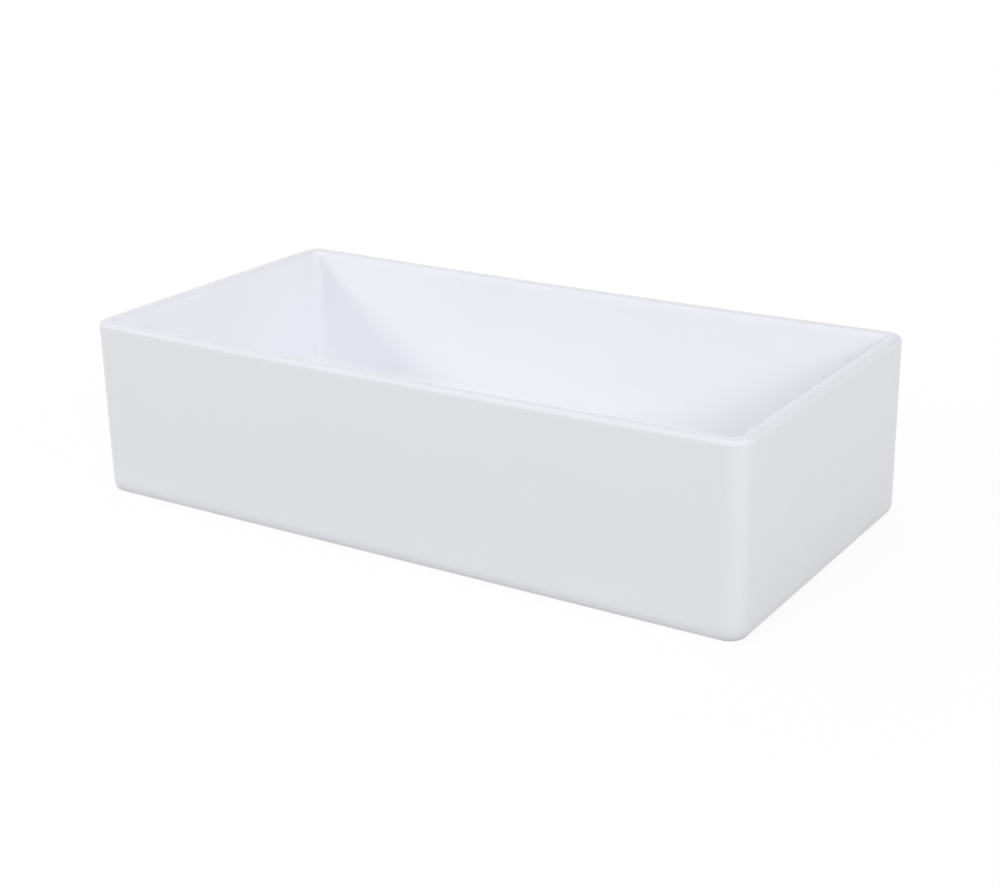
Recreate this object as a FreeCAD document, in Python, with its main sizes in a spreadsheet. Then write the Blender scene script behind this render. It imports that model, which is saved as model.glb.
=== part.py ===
import FreeCAD, Part
import math
import os

import Sketcher

# Rectangular ceramic washbasin for a counter top, with its push-open waste.
# Millimetres. The origin is on the counter, under the middle of the basin: +X runs along the basin's
# length, +Y to its back and +Z up.

# Driving dimensions: lengths in mm, angles in degrees, diameters named as such
SIZES = {
    # Basin
    "basin_length": 600.0,
    "basin_width": 300.0,
    "basin_height": 150.0,
    "wall": 12.0,
    "outside_corner": 16.0,
    "bowl_corner_at_rim": 6.0,
    "bowl_corner_at_floor": 14.0,
    "rim_round_outside": 4.0,
    "rim_round_inside": 4.0,
    "foot_round": 7.5,
    "foot_width": 14.0,
    "recess_depth": 17.0,
    "recess_corner": 10.0,
    "floor_thickness": 12.0,
    "floor_slope": 1.1,
    "floor_cove": 10.0,
    "drain_hole_diameter": 46.0,
    "drain_seat_diameter": 70.0,
    # Waste body
    "flange_diameter": 66.0,
    "flange_height": 5.0,
    "flange_round": 2.0,
    "throat_diameter": 52.0,
    "throat_lift": 0.5,
    "bore_diameter": 36.0,
    "thread_diameter": 41.9,
    "tail_drop": 45.0,
    "tail_chamfer": 1.0,
    "relief_depth": 1.2,
    "relief_width": 3.0,
    "cross_drop": 18.0,
    "cross_height": 8.0,
    "cross_arm_width": 4.0,
    "boss_diameter": 15.0,
    "boss_thread_diameter": 8.0,
    # Seals and nut that clamp the waste to the floor of the basin
    "gasket_height": 1.5,
    "gasket_inset": 1.0,
    "gasket_hole_clearance": 0.3,
    "gasket_collar": 4.0,
    "washer_diameter": 58.0,
    "washer_taper": 2.5,
    "washer_height": 6.0,
    "washer_nose": 4.0,
    "washer_nose_lip": 1.0,
    "washer_hole_clearance": 0.3,
    "slip_washer_diameter": 57.0,
    "slip_washer_height": 1.5,
    "backnut_flats": 52.0,
    "backnut_height": 8.5,
    # Plug
    "plug_travel": 9.0,
    "cap_diameter": 60.0,
    "cap_edge": 3.0,
    "cap_crown": 4.5,
    "cap_wall": 1.2,
    "cap_round": 1.2,
    "cap_gap": 0.6,
    "carrier_plate": 1.8,
    "carrier_inset": 0.2,
    "carrier_lip": 1.0,
    "carrier_hub": 1.5,
    "carrier_hub_diameter": 17.0,
    "seal_height": 2.5,
    "seal_groove_depth": 2.2,
    "seal_gap": 0.4,
    "lip_gap": 1.0,
    "insert_diameter": 11.0,
    "stem_thread_diameter": 6.0,
    "locknut_flats": 10.0,
    "locknut_height": 4.0,
    "locknut_gap": 0.5,
    # Cartridge
    "sleeve_diameter": 15.0,
    "sleeve_bore_diameter": 12.0,
    "sleeve_length": 34.0,
    "sleeve_floor": 2.0,
    "bush_depth": 6.0,
    "bush_head": 1.5,
    "rod_diameter": 8.0,
    "collar_height": 3.0,
    "stop_gap": 0.3,
    "spigot_diameter": 5.0,
    "spigot_length": 7.0,
    "rotor_height": 5.0,
    "rotor_gap": 0.2,
    "rotor_notch_width": 1.4,
    "rotor_notch_depth": 1.5,
    "rotor_notches": 8,
    "spring_wire": 0.9,
    "spring_diameter": 8.8,
    "spring_turns": 6,
    "ring_wire": 1.1,
    # Fits
    "thread_clearance": 0.05,
    "running_clearance": 0.06,
    "washer_clearance": 0.1,
    "seat_clearance": 0.05,
    "cap_clearance": 0.1,
}

doc = FreeCAD.newDocument("Washbasin")
sheet = doc.addObject("Spreadsheet::Sheet", "Sizes")
for row, (name, size) in enumerate(SIZES.items(), start=1):
    sheet.set(f"A{row}", name)
    sheet.set(f"B{row}", str(size))
    sheet.setAlias(f"B{row}", name)
doc.recompute()


# Expressions

def size(name):
    """The expression that reads one driving dimension."""
    return f"Sizes.{name}"


def half(name):
    """The expression for half of one driving dimension, such as a radius."""
    return f"(Sizes.{name} / 2)"


def number(expression):
    """The present value of an expression."""
    return float(sheet.evalExpression(expression))


# Heights above the counter that the pieces share, with the plug open

FLOOR_SEAT = "(Sizes.recess_depth + Sizes.floor_thickness)"
FLANGE_SEAT = f"({FLOOR_SEAT} + Sizes.gasket_height)"
FLANGE_TOP = f"({FLANGE_SEAT} + Sizes.flange_height)"
WASHER_BASE = "(Sizes.recess_depth - Sizes.washer_height)"
SLIP_WASHER_BASE = f"({WASHER_BASE} - Sizes.slip_washer_height)"
BACKNUT_BASE = f"({SLIP_WASHER_BASE} - Sizes.backnut_height)"
SLEEVE_BASE = "(Sizes.cross_height - Sizes.cross_drop)"
SLEEVE_TOP = f"({SLEEVE_BASE} + Sizes.sleeve_length)"
BUSH_BASE = f"({SLEEVE_TOP} - Sizes.bush_depth)"
COLLAR_TOP = f"({BUSH_BASE} - Sizes.stop_gap)"
COLLAR_BASE = f"({COLLAR_TOP} - Sizes.collar_height)"
ROTOR_BASE = f"({COLLAR_BASE} - Sizes.rotor_gap - Sizes.rotor_height)"
SPRING_BASE = f"({SLEEVE_BASE} + Sizes.sleeve_floor)"
CAP_BASE_CLOSED = f"({FLANGE_TOP} + Sizes.cap_gap)"
CAP_BASE = f"({CAP_BASE_CLOSED} + Sizes.plug_travel)"
PLATE_BASE = f"({CAP_BASE} + Sizes.carrier_inset)"
SEAL_BASE = f"({PLATE_BASE} - Sizes.seal_height)"
CARRIER_BASE = f"({SEAL_BASE} - Sizes.carrier_lip)"
LOCKNUT_BASE = f"({CARRIER_BASE} - Sizes.locknut_height)"

# Radii that the pieces share

BORE_RADIUS = half("bore_diameter")
THREAD_RADIUS = half("thread_diameter")
ROD_RADIUS = half("rod_diameter")
SLEEVE_BORE_RADIUS = half("sleeve_bore_diameter")
CAP_INNER_RADIUS = f"({half('cap_diameter')} - Sizes.cap_wall)"
THROAT_RISE = "(Sizes.flange_height - Sizes.throat_lift)"
THROAT_FLARE = "((Sizes.throat_diameter - Sizes.bore_diameter) / 2)"


def throat_radius(height_when_closed):
    """The expression for the throat's radius at a height above the counter."""
    above = f"({height_when_closed} - {FLANGE_SEAT} - Sizes.throat_lift)"
    return f"({BORE_RADIUS} + {above} * {THROAT_FLARE} / {THROAT_RISE})"


SEAL_RADIUS = f"({throat_radius(f'({SEAL_BASE} - Sizes.plug_travel)')} - Sizes.seal_gap)"
LIP_RADIUS = f"({throat_radius(f'({CARRIER_BASE} - Sizes.plug_travel)')} - Sizes.lip_gap)"
GROOVE_RADIUS = f"({LIP_RADIUS} - Sizes.seal_groove_depth)"


# How far apart two heights may lie and still count as one level
LEVEL = 1e-4

# The largest shares of a wall that its rounded edges may take
OUTER_ROUND_SHARE = 0.55
INNER_ROUND_SHARE = 0.35


def limited(radius, wall, share):
    """The expression for a rounding that takes no more than a share of the wall it is on."""
    return f"min({radius}; {wall} * {share})"


# Sketch and feature helpers

def new_body(label, base=None):
    """A body whose origin is lifted to the height that the expression base gives."""
    body = doc.addObject("PartDesign::Body", label)
    body.Label = label
    if base:
        body.setExpression("Placement.Base.z", base)
    return body


def new_sketch(body, name, plane_role, lift=None):
    """A sketch on one of the body's own planes, lifted along the plane's normal."""
    planes = [feature for feature in body.Origin.OriginFeatures if feature.Role == plane_role]
    sketch = body.newObject("Sketcher::SketchObject", name)
    sketch.AttachmentSupport = [(planes[0], "")]
    sketch.MapMode = "FlatFace"
    if lift:
        sketch.setExpression("AttachmentOffset.Base.z", lift)
    return sketch


def bind(sketch, constraint, expression):
    """Add a dimension to the sketch and bind it to an expression."""
    index = sketch.addConstraint(constraint)
    sketch.setExpression(f"Constraints[{index}]", expression)


def pin_point(sketch, geometry, end, across, up):
    """Hold one end of a sketch line at the expressions across and up; "0" is on the axis."""
    if across == "0":
        sketch.addConstraint(Sketcher.Constraint("PointOnObject", geometry, end, -2))
    else:
        distance = Sketcher.Constraint("DistanceX", -1, 1, geometry, end, number(across))
        bind(sketch, distance, across)
    if up == "0":
        sketch.addConstraint(Sketcher.Constraint("PointOnObject", geometry, end, -1))
    else:
        distance = Sketcher.Constraint("DistanceY", -1, 1, geometry, end, number(up))
        bind(sketch, distance, up)


def dome_arc(start, end):
    """The arc through two points whose centre lies on the upright axis, start left of end's height."""
    (x0, y0), (x1, y1) = start, end
    centre = ((x0 * x0 + y0 * y0) - (x1 * x1 + y1 * y1)) / (2 * (y0 - y1))
    angles = sorted(math.atan2(y - centre, x) for x, y in (start, end))
    circle = Part.Circle(FreeCAD.Vector(0, centre, 0), FreeCAD.Vector(0, 0, 1), math.hypot(x0, y0 - centre))
    return Part.ArcOfCircle(circle, *angles)


def closed_outline(sketch, corners):
    """Draw a closed outline through corners, each (across, up), or (across, up, "dome") to start a dome."""
    places = [(number(corner[0]), number(corner[1])) for corner in corners]
    ends = []
    for index, corner in enumerate(corners):
        start = places[index]
        finish = places[(index + 1) % len(places)]
        if len(corner) == 3:
            geometry = sketch.addGeometry(dome_arc(start, finish), False)
            sketch.addConstraint(Sketcher.Constraint("PointOnObject", geometry, 3, -2))
            forward = start[0] > finish[0]
            ends.append((geometry, 1, 2) if forward else (geometry, 2, 1))
        else:
            line = Part.LineSegment(FreeCAD.Vector(*start, 0), FreeCAD.Vector(*finish, 0))
            ends.append((sketch.addGeometry(line, False), 1, 2))
    for index, corner in enumerate(corners):
        geometry, start_end, _ = ends[index]
        before, _, finish_end = ends[index - 1]
        sketch.addConstraint(Sketcher.Constraint("Coincident", before, finish_end, geometry, start_end))
        pin_point(sketch, geometry, start_end, corner[0], corner[1])


def rounded_rectangle(sketch, length, width, corner):
    """Draw a rectangle about the origin with rounded corners, all three sizes bound to expressions."""
    radius = number(corner)
    reach_x = number(length) / 2
    reach_y = number(width) / 2
    upward = FreeCAD.Vector(0, 0, 1)
    arcs = []
    for quarter, (side_x, side_y) in enumerate(((1, 1), (-1, 1), (-1, -1), (1, -1))):
        centre = FreeCAD.Vector(side_x * (reach_x - radius), side_y * (reach_y - radius), 0)
        circle = Part.Circle(centre, upward, radius)
        angle = quarter * math.pi / 2
        arcs.append(sketch.addGeometry(Part.ArcOfCircle(circle, angle, angle + math.pi / 2), False))
    for index, arc in enumerate(arcs):
        after = arcs[(index + 1) % len(arcs)]
        start = sketch.getPoint(arc, 2)
        finish = sketch.getPoint(after, 1)
        line = sketch.addGeometry(Part.LineSegment(start, finish), False)
        sketch.addConstraint(Sketcher.Constraint("Tangent", arc, 2, line, 1))
        sketch.addConstraint(Sketcher.Constraint("Tangent", line, 2, after, 1))
    first = arcs[0]
    for arc in arcs[1:]:
        sketch.addConstraint(Sketcher.Constraint("Equal", first, arc))
    sketch.addConstraint(Sketcher.Constraint("Symmetric", first, 3, arcs[1], 3, -2))
    sketch.addConstraint(Sketcher.Constraint("Symmetric", first, 3, arcs[3], 3, -1))
    sketch.addConstraint(Sketcher.Constraint("Symmetric", first, 3, arcs[2], 3, -1, 1))
    bind(sketch, Sketcher.Constraint("Radius", first, radius), corner)
    centre_x = f"{length} / 2 - {corner}"
    centre_y = f"{width} / 2 - {corner}"
    bind(sketch, Sketcher.Constraint("DistanceX", -1, 1, first, 3, number(centre_x)), centre_x)
    bind(sketch, Sketcher.Constraint("DistanceY", -1, 1, first, 3, number(centre_y)), centre_y)


def extrude(body, kind, sketch, length, reverse=False):
    """Pad or pocket a sketch by the expression length."""
    feature = body.newObject(f"PartDesign::{kind}", f"{kind}_{sketch.Name}")
    feature.Profile = sketch
    feature.setExpression("Length", length)
    feature.Reversed = reverse
    sketch.Visibility = False
    return feature


def revolve(body, kind, sketch):
    """Turn a sketch a full circle about the body's upright axis, adding or cutting."""
    feature = body.newObject(f"PartDesign::{kind}", f"{kind}_{sketch.Name}")
    feature.Profile = sketch
    feature.ReferenceAxis = (sketch, ["V_Axis"])
    feature.Angle = 360
    return feature


def round_edges(body, base, radius, wanted):
    """Fillet the edges of base that the test wanted picks, to the expression radius."""
    doc.recompute()
    names = [f"Edge{index}" for index, edge in enumerate(base.Shape.Edges, start=1) if wanted(edge)]
    fillet = body.newObject("PartDesign::Fillet", "Fillet")
    fillet.Base = (base, names)
    fillet.setExpression("Radius", radius)
    return fillet


def turned(label, base, corners):
    """A turned piece: the outline of its half section, revolved about the upright axis."""
    body = new_body(label, base)
    sketch = new_sketch(body, f"{label}_section", "XZ_Plane")
    closed_outline(sketch, corners)
    return body, revolve(body, "Revolution", sketch)


def ring(label, base, inner, outer, height):
    """A turned piece with a plain rectangular section."""
    body, _ = turned(label, base, [(inner, "0"), (outer, "0"), (outer, height), (inner, height)])
    return body


def cylinder(name, radius, height, base):
    """An upright cylinder on the axis, from the height that the expression base gives."""
    solid = doc.addObject("Part::Cylinder", name)
    solid.setExpression("Radius", radius)
    solid.setExpression("Height", height)
    solid.setExpression("Placement.Base.z", base)
    return solid


def boolean(kind, label, base, tool):
    """Cut the tool from the base, or keep what they share."""
    result = doc.addObject(f"Part::{kind}", label)
    result.Label = label
    result.Base = base
    result.Tool = tool
    return result


def hexagon_nut(label, flats, height, bore_radius, base):
    """A hexagon nut with its corners chamfered above and below."""
    prism = doc.addObject("Part::Prism", f"{label}_hexagon")
    prism.Polygon = 6
    prism.setExpression("Circumradius", f"{flats} / sqrt(3)")
    prism.setExpression("Height", height)
    prism.setExpression("Placement.Base.z", base)
    flat_radius = f"{flats} / 2"
    corner_radius = f"{flats} / sqrt(3)"
    chamfer = f"({corner_radius} - {flat_radius}) / sqrt(3)"
    turned_blank, _ = turned(f"{label}_blank", base, [
        ("0", "0"),
        (flat_radius, "0"),
        (corner_radius, chamfer),
        (corner_radius, f"{height} - {chamfer}"),
        (flat_radius, height),
        ("0", height),
    ])
    blank = boolean("Common", f"{label}_chamfered", prism, turned_blank)
    bore = cylinder(f"{label}_bore", bore_radius, height, base)
    return boolean("Cut", label, blank, bore)


# Basin

def level_edge(edge, height):
    """Whether an edge lies flat at one height above its body's origin."""
    return abs(edge.BoundBox.ZMin - height) < LEVEL and abs(edge.BoundBox.ZMax - height) < LEVEL


def make_bowl_form():
    """The hollow of the bowl as a solid, from the drain seat up through the rim, with its coved floor."""
    form = new_body("bowl_form", FLOOR_SEAT)
    hollow_length = "(Sizes.basin_length - 2 * Sizes.wall)"
    hollow_width = "(Sizes.basin_width - 2 * Sizes.wall)"
    floor = new_sketch(form, "bowl_at_floor", "XY_Plane")
    rounded_rectangle(floor, hollow_length, hollow_width, size("bowl_corner_at_floor"))
    rim = new_sketch(form, "bowl_at_rim", "XY_Plane", f"Sizes.basin_height - {FLOOR_SEAT}")
    rounded_rectangle(rim, hollow_length, hollow_width, size("bowl_corner_at_rim"))
    loft = form.newObject("PartDesign::AdditiveLoft", "bowl_walls")
    loft.Profile = floor
    loft.Sections = [rim]
    loft.Ruled = True

    # The floor falls to the drain as a flat cone
    seat_radius = half("drain_seat_diameter")
    far = "(sqrt(Sizes.basin_length ^ 2 + Sizes.basin_width ^ 2) / 2)"
    rise = f"({far} - {seat_radius}) * tan(Sizes.floor_slope * 1 deg)"
    fall = new_sketch(form, "floor_fall", "XZ_Plane")
    closed_outline(fall, [(seat_radius, "0"), (far, "0"), (far, rise)])
    sloped = revolve(form, "Groove", fall)

    highest = number(rise)
    round_edges(form, sloped, size("floor_cove"),
                lambda edge: edge.BoundBox.ZMax < highest and edge.BoundBox.ZMin > LEVEL)
    return form


def make_basin():
    """The ceramic: a rounded block, recessed underneath, hollowed by the bowl, pierced for the waste."""
    basin = new_body("basin_body")
    outside = new_sketch(basin, "basin_outside", "XY_Plane")
    rounded_rectangle(outside, size("basin_length"), size("basin_width"), size("outside_corner"))
    block = extrude(basin, "Pad", outside, size("basin_height"))

    height = number(size("basin_height"))
    rim_round = limited(size("rim_round_outside"), size("wall"), OUTER_ROUND_SHARE)
    foot_round = limited(size("foot_round"), size("foot_width"), OUTER_ROUND_SHARE)
    topped = round_edges(basin, block, rim_round, lambda edge: level_edge(edge, height))
    round_edges(basin, topped, foot_round, lambda edge: level_edge(edge, 0))

    recess = new_sketch(basin, "foot_recess", "XY_Plane")
    recess_length = "(Sizes.basin_length - 2 * Sizes.foot_width)"
    recess_width = "(Sizes.basin_width - 2 * Sizes.foot_width)"
    rounded_rectangle(recess, recess_length, recess_width, size("recess_corner"))
    extrude(basin, "Pocket", recess, size("recess_depth"), reverse=True)

    drain = new_sketch(basin, "drain_hole", "XY_Plane")
    hole_radius = half("drain_hole_diameter")
    circle = Part.Circle(FreeCAD.Vector(0, 0, 0), FreeCAD.Vector(0, 0, 1), number(hole_radius))
    hole = drain.addGeometry(circle, False)
    drain.addConstraint(Sketcher.Constraint("Coincident", hole, 3, -1, 1))
    bind(drain, Sketcher.Constraint("Radius", hole, circle.Radius), hole_radius)
    extrude(basin, "Pocket", drain, size("basin_height"), reverse=True)

    hollow = basin.newObject("PartDesign::Boolean", "bowl_hollow")
    hollow.Type = "Cut"
    hollow.setObjects([make_bowl_form()])
    doc.recompute()

    reach_y = number("Sizes.basin_width / 2 - Sizes.wall")
    reach_x = number("Sizes.basin_length / 2 - Sizes.wall")

    def at_the_bowl_mouth(edge):
        box = edge.BoundBox
        inside_x = max(abs(box.XMin), abs(box.XMax)) < reach_x + LEVEL
        inside_y = max(abs(box.YMin), abs(box.YMax)) < reach_y + LEVEL
        return inside_x and inside_y and level_edge(edge, height)

    mouth_round = limited(size("rim_round_inside"), size("wall"), INNER_ROUND_SHARE)
    round_edges(basin, hollow, mouth_round, at_the_bowl_mouth)
    return basin


# Waste

def make_waste_body():
    """Flange, threaded tube and the cross inside it, with a boss for the cartridge.

    A relief parts the thread that the backnut runs on from the tail that takes the trap.
    """
    tail = "(-Sizes.tail_drop)"
    relief_top = f"({BACKNUT_BASE} + Sizes.tail_drop)"
    relief_base = f"({relief_top} - Sizes.relief_width)"
    relief_radius = f"({THREAD_RADIUS} - Sizes.relief_depth)"
    flange_base = f"({FLANGE_SEAT} + Sizes.tail_drop)"
    flange_top = f"({FLANGE_TOP} + Sizes.tail_drop)"
    shell, shape = turned("waste_shell", tail, [
        (BORE_RADIUS, "0"),
        (f"{THREAD_RADIUS} - Sizes.tail_chamfer", "0"),
        (THREAD_RADIUS, size("tail_chamfer")),
        (THREAD_RADIUS, relief_base),
        (relief_radius, relief_base),
        (relief_radius, relief_top),
        (THREAD_RADIUS, relief_top),
        (THREAD_RADIUS, flange_base),
        (half("flange_diameter"), flange_base),
        (half("flange_diameter"), flange_top),
        (half("throat_diameter"), flange_top),
        (BORE_RADIUS, f"{flange_base} + Sizes.throat_lift"),
    ])
    top = number(flange_top)
    outer = number(half("flange_diameter"))
    land = f"({half('flange_diameter')} - {half('throat_diameter')})"
    round_edges(shell, shape, limited(size("flange_round"), land, OUTER_ROUND_SHARE),
                lambda edge: level_edge(edge, top) and abs(edge.BoundBox.XMax - outer) < LEVEL)

    cross_base = "(-Sizes.cross_drop)"
    arm_length = f"({BORE_RADIUS} + {THREAD_RADIUS})"
    parts = [shell]
    for name, along, across in (("cross_arm_x", "x", "y"), ("cross_arm_y", "y", "x")):
        arm = doc.addObject("Part::Box", name)
        sides = {"x": "Length", "y": "Width"}
        arm.setExpression(sides[along], arm_length)
        arm.setExpression(sides[across], size("cross_arm_width"))
        arm.setExpression("Height", size("cross_height"))
        arm.setExpression(f"Placement.Base.{along}", f"-{arm_length} / 2")
        arm.setExpression(f"Placement.Base.{across}", "-Sizes.cross_arm_width / 2")
        arm.setExpression("Placement.Base.z", cross_base)
        parts.append(arm)
    parts.append(cylinder("cross_boss", half("boss_diameter"), size("cross_height"), cross_base))
    joined = doc.addObject("Part::MultiFuse", "waste_joined")
    joined.Shapes = parts
    tapped = cylinder("boss_thread", half("boss_thread_diameter"), size("cross_height"), cross_base)
    return boolean("Cut", "waste_body", joined, tapped)


def make_flange_gasket():
    """The soft ring under the flange, with a collar that centres the tube in the drain hole."""
    inner = f"({THREAD_RADIUS} + Sizes.gasket_hole_clearance)"
    collar = f"({half('drain_hole_diameter')} - Sizes.washer_hole_clearance)"
    outer = f"({half('flange_diameter')} - Sizes.gasket_inset)"
    ring_base = size("gasket_collar")
    ring_top = "(Sizes.gasket_collar + Sizes.gasket_height)"
    body, _ = turned("flange_gasket", f"({FLOOR_SEAT} - Sizes.gasket_collar)", [
        (inner, "0"),
        (collar, "0"),
        (collar, ring_base),
        (outer, ring_base),
        (outer, ring_top),
        (inner, ring_top),
    ])
    return body


def make_tapered_washer():
    """The rubber washer under the floor, with a nose that centres the tube in the drain hole."""
    inner = f"({THREAD_RADIUS} + Sizes.washer_clearance)"
    nose = f"({half('drain_hole_diameter')} - Sizes.washer_hole_clearance)"
    body, _ = turned("tapered_washer", WASHER_BASE, [
        (inner, "0"),
        (half("washer_diameter"), "0"),
        (f"{half('washer_diameter')} - Sizes.washer_taper", size("washer_height")),
        (nose, size("washer_height")),
        (f"{inner} + Sizes.washer_nose_lip", "Sizes.washer_height + Sizes.washer_nose"),
        (inner, "Sizes.washer_height + Sizes.washer_nose"),
    ])
    return body


def make_clamp():
    """The gasket above the floor and the washers and nut below it."""
    loose = f"({THREAD_RADIUS} + Sizes.washer_clearance)"
    threaded = f"({THREAD_RADIUS} + Sizes.thread_clearance)"
    slip_radius = half("slip_washer_diameter")
    return [
        make_flange_gasket(),
        make_tapered_washer(),
        ring("friction_washer", SLIP_WASHER_BASE, loose, slip_radius, size("slip_washer_height")),
        hexagon_nut("backnut", size("backnut_flats"), size("backnut_height"), threaded, BACKNUT_BASE),
    ]


# Plug

def make_plug_cap():
    """The domed cap: a thin shell with a short upright edge."""
    edge = size("cap_edge")
    crown = "(Sizes.cap_edge + Sizes.cap_crown)"
    inner_edge = "(Sizes.cap_edge - Sizes.cap_wall / 2)"
    body, shell = turned("plug_cap", CAP_BASE, [
        (CAP_INNER_RADIUS, "0"),
        (half("cap_diameter"), "0"),
        (half("cap_diameter"), edge, "dome"),
        ("0", crown),
        ("0", f"{crown} - Sizes.cap_wall", "dome"),
        (CAP_INNER_RADIUS, inner_edge),
    ])
    height = number(edge)
    round_edges(body, shell, size("cap_round"), lambda rim: level_edge(rim, height))
    return body


def make_plug_carrier():
    """The disc under the cap: a plate, a groove for the seal and a hub that holds the insert."""
    inner = f"({half('insert_diameter')} + Sizes.seat_clearance)"
    plate_radius = f"({CAP_INNER_RADIUS} - Sizes.cap_clearance)"
    groove_base = size("carrier_lip")
    plate_base = "(Sizes.carrier_lip + Sizes.seal_height)"
    plate_top = f"({plate_base} + Sizes.carrier_plate)"
    hub_top = f"({plate_top} + Sizes.carrier_hub)"
    body, _ = turned("plug_carrier", CARRIER_BASE, [
        (inner, "0"),
        (LIP_RADIUS, "0"),
        (LIP_RADIUS, groove_base),
        (GROOVE_RADIUS, groove_base),
        (GROOVE_RADIUS, plate_base),
        (plate_radius, plate_base),
        (plate_radius, plate_top),
        (half("carrier_hub_diameter"), plate_top),
        (half("carrier_hub_diameter"), hub_top),
        (inner, hub_top),
    ])
    return body


def make_plug():
    """Cap, carrier, seal, threaded insert and locknut."""
    insert_height = "(Sizes.carrier_lip + Sizes.seal_height + Sizes.carrier_plate + Sizes.carrier_hub)"
    stem = half("stem_thread_diameter")
    seal_inner = f"({GROOVE_RADIUS} + Sizes.seat_clearance)"
    return [
        make_plug_cap(),
        make_plug_carrier(),
        ring("plug_seal", SEAL_BASE, seal_inner, SEAL_RADIUS, size("seal_height")),
        ring("plug_insert", CARRIER_BASE, stem, half("insert_diameter"), insert_height),
        hexagon_nut("stem_locknut", size("locknut_flats"), size("locknut_height"), stem, LOCKNUT_BASE),
    ]


# Cartridge

def make_sleeve():
    """The barrel, closed below, with the stud that screws into the cross."""
    top = "(Sizes.cross_height + Sizes.sleeve_length)"
    floor = "(Sizes.cross_height + Sizes.sleeve_floor)"
    stud = f"({half('boss_thread_diameter')} - Sizes.thread_clearance)"
    body, _ = turned("cartridge_sleeve", "(-Sizes.cross_drop)", [
        ("0", "0"),
        (stud, "0"),
        (stud, size("cross_height")),
        (half("sleeve_diameter"), size("cross_height")),
        (half("sleeve_diameter"), top),
        (SLEEVE_BORE_RADIUS, top),
        (SLEEVE_BORE_RADIUS, floor),
        ("0", floor),
    ])
    return body


def make_bush():
    """The guide bush in the top of the barrel, with a groove in its bore for the sealing ring."""
    bore = f"({ROD_RADIUS} + Sizes.running_clearance)"
    outer = f"({SLEEVE_BORE_RADIUS} - Sizes.thread_clearance)"
    top = "(Sizes.bush_depth + Sizes.bush_head)"
    groove = f"({bore} + Sizes.ring_wire + Sizes.seat_clearance)"
    groove_base = "((Sizes.bush_depth - Sizes.ring_wire) / 2)"
    groove_top = f"({groove_base} + Sizes.ring_wire + 2 * Sizes.seat_clearance)"
    body, _ = turned("cartridge_bush", BUSH_BASE, [
        (bore, "0"),
        (outer, "0"),
        (outer, size("bush_depth")),
        (half("sleeve_diameter"), size("bush_depth")),
        (half("sleeve_diameter"), top),
        (bore, top),
        (bore, groove_top),
        (groove, groove_top),
        (groove, groove_base),
        (bore, groove_base),
    ])
    return body


def make_sealing_ring():
    """The O-ring in the bush's groove."""
    torus = doc.addObject("Part::Torus", "cartridge_seal")
    torus.setExpression("Radius1", f"{ROD_RADIUS} + Sizes.running_clearance + Sizes.ring_wire / 2")
    torus.setExpression("Radius2", half("ring_wire"))
    torus.setExpression("Placement.Base.z", f"{BUSH_BASE} + Sizes.bush_depth / 2 + Sizes.seat_clearance")
    return torus


def make_plunger():
    """The rod that carries the plug: spigot, collar, rod and threaded end."""
    collar_top = "(Sizes.spigot_length + Sizes.collar_height)"
    rod_length = f"({LOCKNUT_BASE} - Sizes.locknut_gap - {COLLAR_TOP})"
    shoulder = f"({collar_top} + {rod_length})"
    insert_top = f"({PLATE_BASE} + Sizes.carrier_plate + Sizes.carrier_hub)"
    stem_length = f"({insert_top} - {LOCKNUT_BASE} + Sizes.locknut_gap)"
    stem = f"({half('stem_thread_diameter')} - Sizes.thread_clearance)"
    collar = f"({SLEEVE_BORE_RADIUS} - Sizes.running_clearance)"
    body, _ = turned("cartridge_plunger", f"({COLLAR_BASE} - Sizes.spigot_length)", [
        ("0", "0"),
        (half("spigot_diameter"), "0"),
        (half("spigot_diameter"), size("spigot_length")),
        (collar, size("spigot_length")),
        (collar, collar_top),
        (ROD_RADIUS, collar_top),
        (ROD_RADIUS, shoulder),
        (stem, shoulder),
        (stem, f"{shoulder} + {stem_length}"),
        ("0", f"{shoulder} + {stem_length}"),
    ])
    return body


def make_rotor():
    """The index ring that turns on the plunger's spigot, notched on its top face."""
    inner = f"({half('spigot_diameter')} + Sizes.running_clearance)"
    outer = f"({SLEEVE_BORE_RADIUS} - Sizes.running_clearance)"
    rotor = ring("cartridge_rotor", ROTOR_BASE, inner, outer, size("rotor_height"))
    notch = new_sketch(rotor, "rotor_notch", "XY_Plane", size("rotor_height"))
    reach = size("sleeve_bore_diameter")
    width = size("rotor_notch_width")
    closed_outline(notch, [("0", "0"), (reach, "0"), (reach, width), ("0", width)])
    cut = extrude(rotor, "Pocket", notch, size("rotor_notch_depth"))
    doc.recompute()
    pattern = rotor.newObject("PartDesign::PolarPattern", "rotor_notches")
    pattern.Originals = [cut]
    pattern.Axis = (notch, ["N_Axis"])
    pattern.Angle = 360
    pattern.setExpression("Occurrences", size("rotor_notches"))
    rotor.Tip = pattern
    return rotor


def biarc(start, start_way, finish, finish_way):
    """Two arcs that leave start along start_way, meet smoothly and reach finish along finish_way."""
    chord = finish - start
    both = start_way + finish_way
    spread = 2 * (1 - start_way.dot(finish_way))
    along = chord.dot(both)
    reach = (-along + math.sqrt(along * along + spread * chord.dot(chord))) / spread
    meeting = (start + finish + (start_way - finish_way) * reach) / 2
    return [tangent_arc(start, start_way, meeting), tangent_arc(finish, -finish_way, meeting)]


def tangent_arc(start, way, finish):
    """The arc that leaves start along way and ends at finish."""
    chord = finish - start
    sideways = chord.cross(way).cross(way).normalize()
    radius = -chord.dot(chord) / (2 * chord.dot(sideways))
    centre = start - sideways * radius
    middle = ((start + finish) / 2 - centre).normalize() * abs(radius) + centre
    return Part.Arc(start, middle, finish)


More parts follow.
